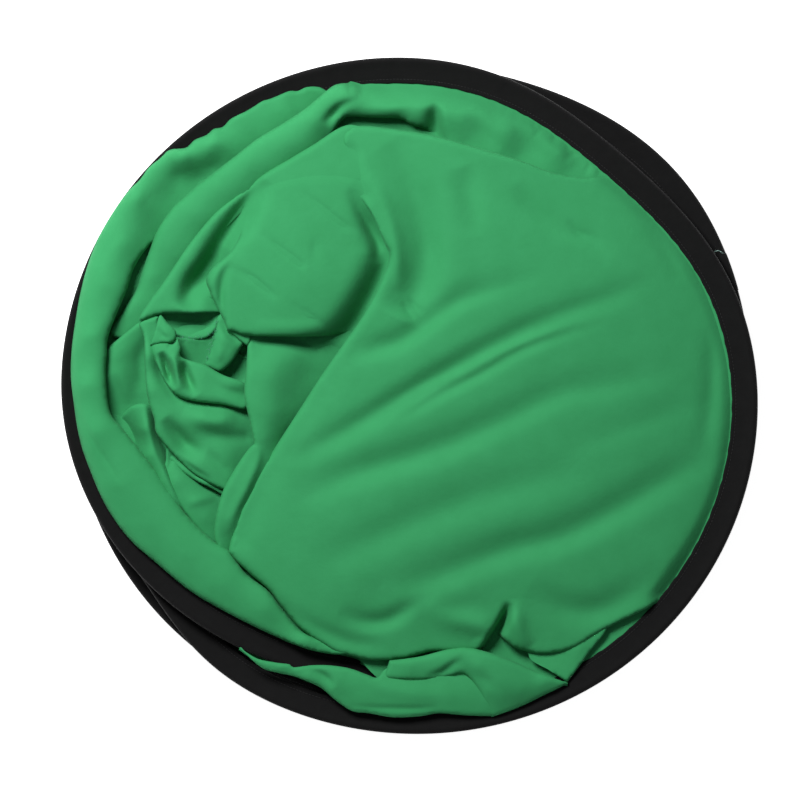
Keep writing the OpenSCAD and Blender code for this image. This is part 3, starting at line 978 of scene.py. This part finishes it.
    # right pocket, crescent and flap of the bottom bunch
    sheet.fold(
        [(197, -232, 41, 1), (180, -258, 41, 2), (158, -287, 42, 2), (158, -287, 42, 2),
         (140, -275, 42, 0), (120, -262, 40, 0), (125, -240, 38, 0), (165, -228, 38, 0)],
        [(170, -255, 43), (150, -262, 40), (135, -250, 37)],
        seed=15, spacing=2.2,
    )
    sheet.fold(
        [(-171, -252, 41, 1), (-171, -252, 41, 1), (-153, -263, 43, 2), (-135, -267, 44, 2),
         (-120, -269, 44, 2), (-116, -272, 44, 2), (-98, -270, 44, 3), (-80, -270, 45, 3),
         (-60, -273, 45, 3), (-43, -279, 45, 3), (-32, -282, 44, 2), (-20, -272, 42, 0),
         (20, -266, 42, 0), (60, -264, 42, 0), (100, -270, 42, 0), (150, -286, 42, 1),
         (159, -288, 42, 2), (159, -288, 42, 2), (135, -300, 42, 3), (110, -311, 42, 3),
         (84, -321, 44, 3), (84, -321, 44, 3), (55, -320, 45, 3), (30, -318, 45, 3),
         (10, -321, 45, 3), (-17, -322, 45, 3), (-40, -318, 45, 3), (-57, -316, 44, 3),
         (-73, -306, 43, 3), (-90, -292, 42, 3), (-113, -282, 42, 2), (-130, -278, 42, 2),
         (-147, -273, 42, 2), (-163, -260, 41, 1)],
        [(-130, -272, 45), (-100, -277, 47), (-75, -287, 48), (-40, -300, 48), (0, -304, 48),
         (40, -304, 48), (80, -304, 47.5), (120, -295, 46)],
        [
            crease([(-112, -274, 0), (-95, -276, -3), (-82, -283, -4), (-75, -292, 0)], 4, 5),
            crease([(-60, -280, 0), (-30, -290, 2), (10, -298, 2), (50, -300, 0)], 9),
            crease([(-65, -310, 0), (-40, -312, -1.2), (0, -313, -1.5), (30, -312, 0)], 3),
        ],
        seed=16, spacing=2.2,
    )
    sheet.fold(
        [(-20, -265, 46, 3), (-20, -265, 46, 3), (10, -261, 49, 4), (37, -254, 51, 4),
         (57, -252, 51, 4), (77, -256, 51, 4), (100, -264, 50, 4), (127, -276, 46, 3),
         (159, -288, 43, 2), (159, -288, 43, 2), (135, -300, 43, 3), (110, -312, 43, 3),
         (82, -322, 43, 3), (82, -322, 43, 3), (76, -309, 46, 3), (67, -293, 48, 3),
         (55, -279, 49, 3), (40, -281, 49, 3), (10, -285, 48, 3), (-26, -283, 45, 3),
         (-26, -283, 45, 3)],
        [(0, -272, 51), (40, -266, 55), (70, -268, 56), (100, -282, 54), (110, -298, 51),
         (80, -295, 53), (135, -287, 49)],
        [
            crease([(15, -282, 0), (32, -277, -4), (44, -268, -3), (56, -264, 0)], 4, 5),
            crease([(60, -276, 0), (78, -285, -1.5), (90, -300, 0)], 5),
        ],
        seed=17, spacing=2.2,
    )
    return sheet.make("cloth_face")


face = face_cloth()
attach(face, "upper_coil")
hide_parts("cloth_upper", "cloth_lobe", "cloth_knot", "cloth_roll_left", "cloth_bunch_bottom")


# ---------------------------------------------------------------- cloth packed inside the coils

# The cloth comes out of each coil's tape at its inner edge. One face of the pack bulges up and
# the other down, each with its own folds.
COIL_RUNS = {"upper": (32, 384), "middle": (386, 744), "lower": (702, 1057)}
INNER_EDGE = TAPE_W - 1.2
PACK_REACH = 292
# where the cloth is drawn in at the crossing: depth, travel of the middle, width
GAP_DEPTH, GAP_TRAVEL, GAP_WIDTH = 56, 12, 13


def coil_ring(coil, step=6):
    start, end = COIL_RUNS[coil]
    travel = np.arange(start, end - step / 2, step)
    level = strand_height((start + end) / 2)
    a = np.radians(START_ANGLE - travel)
    r = edge_radius(travel) - INNER_EDGE
    if coil != "lower":
        # the cloth is drawn in where the strand crosses over, which leaves a dark gap
        r -= GAP_DEPTH * hump((travel + 180) % 360 - 180, GAP_TRAVEL, GAP_WIDTH)
    height = np.clip(strand_height(travel), level - 0.6, level + 0.6)
    return [(x, y, z, 0) for x, y, z in zip(r * np.cos(a), r * np.sin(a), height)]


def pack_creases(seed, count, depth):
    """Long folds that wander across the pack, turning about the tie-up of the twist."""
    found = []
    for k in range(count):
        turn = seed + 0.5 * math.sin(2.4 * k)
        off = 560 * ((k + 0.5) / count - 0.5)
        ca, sa = math.cos(turn), math.sin(turn)
        half = math.sqrt(max(290**2 - off**2, 60**2))
        line = []
        for t in (-0.95, -0.5, 0, 0.5, 0.95):
            bend = off + 26 * math.sin(2.3 * t + k * 1.3 + seed)
            h = -depth * (1 - t * t) * (1 + 0.5 * math.sin(k * 2.1 + 3 * t))
            line.append((t * half * ca - bend * sa, t * half * sa + bend * ca, h))
        found.append(crease(line, 6 + 3 * (k % 3), 13 - 3 * (k % 2)))
    return found


def pack_face(sheet, coil, level, seed, up):
    """The upper or lower face of one coil's pack. A lower face is laid up upside down."""
    ring = coil_ring(coil)
    if not up:
        ring = [(x, y, -z, roll) for x, y, z, roll in ring]
    inner = [(x * 0.82, y * 0.82, level) for x, y, _, _ in ring[::3]]
    spread = [(0, 0, level), (120, 60, level), (-110, 90, level), (40, -140, level)]
    sheet.fold(ring, inner + spread, pack_creases(seed, 12, 2.6), unevenness=0.5, seed=seed, spacing=5)


def pack_flap(sheet, turn, out, length, depth, level, roll, seed):
    """A folded-over flap lying on a face of a pack, its hem towards the middle."""
    ca, sa = math.cos(turn), math.sin(turn)
    shape = [
        (-length, out - 6, 0), (-length * 0.9, out - depth * 0.5, roll),
        (-length * 0.5, out - depth, roll), (0, out - depth * 0.85, roll),
        (length * 0.45, out - depth * 1.1, roll), (length * 0.9, out - depth * 0.6, roll),
        (length, out - 8, 0), (length * 0.6, out + 18, 0), (0, out + 34, 0), (-length * 0.6, out + 20, 0),
    ]
    ring = []
    for u, v, r in shape:
        reach = min(1.0, PACK_REACH / math.hypot(u, v))
        u, v = u * reach, v * reach
        ring.append((u * ca - v * sa, u * sa + v * ca, level - (0 if r else 1.5), r))
    middle = [((out - depth * 0.5) * -sa, (out - depth * 0.5) * ca, level + 0.8)]
    lines = [
        crease([((u * ca - v * sa), (u * sa + v * ca), h) for u, v, h in line], 7, 11)
        for line in (
            [(-length * 0.4, out, 0), (-length * 0.35, out - depth * 0.4, -1),
             (-length * 0.2, out - depth * 0.9, -1)],
            [(length * 0.3, out, 0), (length * 0.28, out - depth * 0.5, -1), (length * 0.4, out - depth, -1)],
        )
    ]
    sheet.fold(ring, middle, lines, unevenness=0.4, seed=seed, spacing=3.6)


def turned_over(sheet):
    """Puts a face that was laid up upside down the right way round."""
    sheet.points = [(x, y, -z) for x, y, z in sheet.points]
    sheet.faces = [face[::-1] for face in sheet.faces]
    return sheet


def underside_cloth():
    sheet = Sheet()
    pack_face(sheet, "lower", -4.6, 21, up=False)
    pack_flap(sheet, 0.5, 300, 190, 150, -3.4, 1.4, 22)
    pack_flap(sheet, 2.2, 296, 180, 190, -2.9, 1.4, 23)
    pack_flap(sheet, 3.9, 300, 200, 130, -2.6, 1.3, 24)
    pack_flap(sheet, 5.3, 292, 170, 170, -2.0, 1.3, 25)
    sheet.points = [(x, y, min(z, -0.6)) for x, y, z in sheet.points]
    turned_over(sheet)
    pack_face(sheet, "lower", 9.6, 26, up=True)
    return sheet.make("cloth_underside")


def middle_cloth():
    sheet = Sheet()
    pack_face(sheet, "middle", -16.2, 31, up=False)
    pack_flap(sheet, 1.4, 300, 190, 150, -15.4, 1.2, 32)
    pack_flap(sheet, 4.4, 300, 190, 170, -15.4, 1.2, 33)
    turned_over(sheet)
    pack_face(sheet, "middle", 23.6, 34, up=True)
    pack_flap(sheet, 0.2, 300, 200, 160, 24.6, 1.2, 35)
    pack_flap(sheet, 2.9, 300, 200, 150, 24.6, 1.2, 36)
    return sheet.make("cloth_pleats")


def upper_back_cloth():
    sheet = Sheet()
    pack_face(sheet, "upper", -28.9, 41, up=False)
    pack_flap(sheet, 2.0, 300, 190, 160, -28.2, 0.9, 42)
    pack_flap(sheet, 5.0, 300, 190, 140, -28.2, 0.9, 43)
    turned_over(sheet)
    return sheet.make("cloth_face_back")


underside = underside_cloth()
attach(underside, "lower_coil")
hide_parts("cloth_lower")
pleats = middle_cloth()
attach(pleats, "middle_coil")
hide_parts("cloth_middle")
face_back = upper_back_cloth()
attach(face_back, "upper_coil")


# the same gap, as the bellows keep clear of it: depth, angle of the middle, width
BELLOWS_DEPTH, BELLOWS_TURN, BELLOWS_WIDTH = 46, -108, 14


def bellows(name, low_coil_z, high_coil_z, waist_z, first, last):
    """Cloth running from one coil's pack to the next, folded at the side where the coils hinge."""
    rows = [
        (30, low_coil_z - 1.5), (22, low_coil_z + 1.5), (17, waist_z - 4.5), (12, waist_z - 2.5),
        (5, waist_z - 1), (2, waist_z), (5, waist_z + 1), (12, waist_z + 2.5), (17, waist_z + 4.5),
        (22, high_coil_z - 1.5), (30, high_coil_z + 1.5),
    ]
    turns = np.arange(first, last + 0.1, 0.8)
    points = []
    for k, angle in enumerate(turns):
        a = math.radians(angle)
        travel = (START_ANGLE - angle) % 360
        r_edge = min(float(edge_radius(travel + off)) for off in (360, 720)) - INNER_EDGE
        r_edge -= BELLOWS_DEPTH * float(hump(angle, BELLOWS_TURN, BELLOWS_WIDTH))
        fade = float(ramp(k, 0, 14) * (1 - ramp(k, len(turns) - 15, len(turns) - 1)))
        for inwards, z in rows:
            sway = 2.2 * math.sin(angle * 0.9 + z * 0.5) + 1.2 * math.sin(angle * 2.3)
            r = r_edge - 4 - inwards - (sway + 3) * fade - 14 * (1 - fade)
            points.append((r * math.cos(a) * MM, r * math.sin(a) * MM, z * MM))
    n = len(rows)
    faces = [
        (i * n + j, (i + 1) * n + j, (i + 1) * n + j + 1, i * n + j + 1)
        for i in range(len(turns) - 1)
        for j in range(n - 1)
    ]
    return new_piece(name, points, faces, GREEN)


low_bellows = bellows("cloth_bellows_low", 8, 17.5, 12.9, -165, -78)
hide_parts("cloth_lower", "cloth_middle")
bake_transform(low_bellows)
high_bellows = bellows("cloth_bellows_high", 22, 31.5, 26.9, -165, -78)
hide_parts("cloth_middle", "cloth_upper")
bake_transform(high_bellows)


# ---------------------------------------------------------------- stitches, patch and thread end

STITCH_IN = 22.0
STITCH_PITCH = 0.62


# One thread's shape: how far along it, how thick there, and round its section
STITCH_ALONG = np.array([0.0, 0.12, 0.3, 0.5, 0.62, 0.74])
STITCH_THICK = np.array([0.35, 0.9, 1.0, 1.0, 0.9, 0.35])
STITCH_ROUND = np.array([(1, 0), (0, 1), (-1, 0), (0, -1)])


def stitch_row(points, faces, start, end, up):
    """Short threads lying in the tape along its inner edge, one after another."""
    first = np.arange(start + 0.3, end - 0.3, STITCH_PITCH)
    along = first[:, None, None] + STITCH_ALONG[None, :, None] * STITCH_PITCH
    thick = STITCH_THICK[None, :, None]
    rise = 1.72 + 0.22 * np.sin(math.pi * STITCH_ALONG / STITCH_ALONG[-1])[None, :, None]
    inward = STITCH_IN + 0.30 * thick * STITCH_ROUND[:, 0]
    height = (rise + 0.24 * thick * STITCH_ROUND[:, 1]) * up
    ones = np.ones(len(STITCH_ROUND))
    found = strand_point(along * ones, inward + 0 * along, height + 0 * along)
    count = found.shape[1] * found.shape[2]
    for k in range(len(first)):
        base = len(points) + k * count
        for i in range(len(STITCH_ALONG) - 1):
            for j in range(4):
                m = (j + 1) % 4
                faces.append((base + 4 * i + j, base + 4 * i + m, base + 4 * i + 4 + m, base + 4 * i + 4 + j))
        last = base + count - 4
        faces.append((base, base + 3, base + 2, base + 1))
        faces.append((last, last + 1, last + 2, last + 3))
    points += found.reshape(-1, 3).tolist()


def stitch_piece(name, start, end):
    points, faces = [], []
    stitch_row(points, faces, start, end, 1)
    stitch_row(points, faces, start, end, -1)
    return new_piece(name, points, faces, THREAD_BLACK)


for name, start, end, body, node in (
    ("stitching_upper", 44, 371, "upper_coil", "stitch_upper"),
    ("stitching_middle", 398, 731, "middle_coil", "stitch_middle"),
    ("stitching_lower", 758, 1046, "lower_coil", "stitch_lower"),
):
    piece = stitch_piece(name, start, end)
    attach(piece, body)
    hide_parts(node)

for name, start, end, before, after, node in (
    ("stitching_upper_to_middle", 371, 398, "upper_coil", "middle_coil", "stitch_upper"),
    ("stitching_middle_to_lower", 731, 758, "middle_coil", "lower_coil", "stitch_middle"),
    ("stitching_lower_to_crossover", 1046, 1086, "lower_coil", "middle_coil", "stitch_crossover"),
    ("stitching_crossover_to_upper", 1086, 1124, "middle_coil", "upper_coil", "stitch_crossover"),
):
    piece = stitch_piece(name, start, end)
    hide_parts(node)
    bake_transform(piece)

PATCH_RUN = (600.8, 607.2)


def end_patch():
    """Second layer of tape over the joined ends of the band, turned in and bar-tacked."""
    outer = [(u - 0.45 if u < 1 else u, v + 0.55) for u, v in SECTION if v > 0 and u <= 20]
    outer = outer + [(20.6, 1.75)]
    profile = outer[::-1] + [(-0.55, 0)] + [(u, -v) for u, v in outer]
    travel = np.linspace(*PATCH_RUN, 19)
    points = []
    for f in travel:
        edge = min(f - PATCH_RUN[0], PATCH_RUN[1] - f)
        puff = 0.35 * float(1 - ramp(edge, 0.0, 0.35))
        for u, v in profile:
            points.append(strand_point(f, u, v - puff * (1 if v > 0 else -1 if v < 0 else 0)))
    n = len(profile)
    faces = [
        (i * n + j, (i + 1) * n + j, (i + 1) * n + j + 1, i * n + j + 1)
        for i in range(len(travel) - 1)
        for j in range(n - 1)
    ]
    return new_piece("tape_patch", points, faces, BLACK)


patch = end_patch()
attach(patch, "middle_coil")
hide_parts("tape_end_patch")


def loose_thread():
    """Frayed end of the sewing thread, a curl of two plies parting at the tip."""
    low, high = (np.array(c) * 1000 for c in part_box("thread_tail"))
    centre = (low + high) / 2
    span = high - low
    points, faces = [], []
    for ply, (wave, reach) in enumerate(((0.0, 1.0), (2.1, 0.86), (4.2, 0.7))):
        path = []
        for t in np.linspace(0, 1, 26):
            x = low[0] + span[0] * (0.06 + 0.88 * t * reach)
            y = centre[1] + span[1] * (0.36 * math.sin(t * 3.0 + 0.4) - 0.12 + 0.05 * ply * t)
            z = centre[2] + 0.3 * math.cos(t * 14 + wave)
            twist = 0.16 * math.sin(t * 22 + wave) * (1 - t)
            path.append((x, y + twist, z))
        base = len(points)
        for i, p in enumerate(path):
            r = 0.17 * (1 - 0.55 * i / len(path))
            for k in range(5):
                a = 2 * math.pi * k / 5
                points.append((p[0] * MM, (p[1] + r * math.cos(a)) * MM, (p[2] + r * math.sin(a)) * MM))
        for i in range(len(path) - 1):
            for k in range(5):
                j = (k + 1) % 5
                faces.append((base + 5 * i + k, base + 5 * i + j, base + 5 * i + 5 + j, base + 5 * i + 5 + k))
    return new_piece("loose_thread", points, faces, THREAD_TEAL)


thread = loose_thread()
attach(thread, "middle_coil")
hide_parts("thread_tail")

def tube(points, faces, path, radius, sides=5):
    """Adds a thin round thread along a path in millimetres."""
    path = np.array(path, float)
    base = len(points)
    for i, p in enumerate(path):
        ahead = path[min(i + 1, len(path) - 1)] - path[max(i - 1, 0)]
        ahead /= max(np.linalg.norm(ahead), 1e-9)
        side = np.cross(ahead, (0, 0, 1))
        side /= max(np.linalg.norm(side), 1e-9)
        over = np.cross(side, ahead)
        thin = radius * min(1.0, 0.45 + min(i, len(path) - 1 - i))
        for k in range(sides):
            a = 2 * math.pi * k / sides
            points.append((p + thin * (math.cos(a) * side + math.sin(a) * over)) * MM)
    for i in range(len(path) - 1):
        for k in range(sides):
            j = (k + 1) % sides
            faces.append((base + sides * i + k, base + sides * i + j,
                          base + sides * (i + 1) + j, base + sides * (i + 1) + k))


# The panel's own hem seams come to the surface in the knot, their edges frayed.
KNOT_SEAMS = [
    [(-233, 60.5, 41.5), (-226, 58, 41.5), (-218, 57.2, 41.5), (-208, 58, 41.5), (-200, 62, 41.5)],
    [(-194, 75, 49), (-194.5, 66, 49.5), (-196.5, 56, 49), (-200.5, 44, 48), (-203.5, 34, 46.5)],
]


def seam_threads():
    stitches, stitch_faces, frays, fray_faces = [], [], [], []
    for which, seam in enumerate(KNOT_SEAMS):
        line = spline(seam, False, 0.5)
        for i in range(2, len(line) - 5, 6):
            dash = line[i : i + 4] + (0, 0, 0.3)
            tube(stitches, stitch_faces, dash, 0.3)
        for i in range(1, len(line) - 1, 5):
            turn = which * 1.5 + 2.6 * math.sin(i * 1.7)
            length = 2.2 + 1.6 * math.sin(i * 2.9) ** 2
            curl = [
                line[i] + (
                    t * length * math.cos(turn + 1.4 * t),
                    t * length * math.sin(turn + 1.4 * t),
                    0.2 + 0.8 * math.sin(math.pi * t),
                )
                for t in np.linspace(0, 1, 6)
            ]
            tube(frays, fray_faces, curl, 0.16, 4)
    return (
        new_piece("knot_seam_stitches", stitches, stitch_faces, GREEN),
        new_piece("knot_seam_frays", frays, fray_faces, SEAM_THREAD),
    )


seam_pieces = seam_threads()
for piece in seam_pieces:
    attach(piece, "upper_coil")

for node in ("band_lower", "band_middle", "band_upper", "band_crossover"):
    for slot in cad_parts[node].material_slots:
        slot.material = SPRING_STEEL
for node in ("band_sleeve", "band_rivets"):
    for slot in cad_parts[node].material_slots:
        slot.material = SLEEVE_STEEL
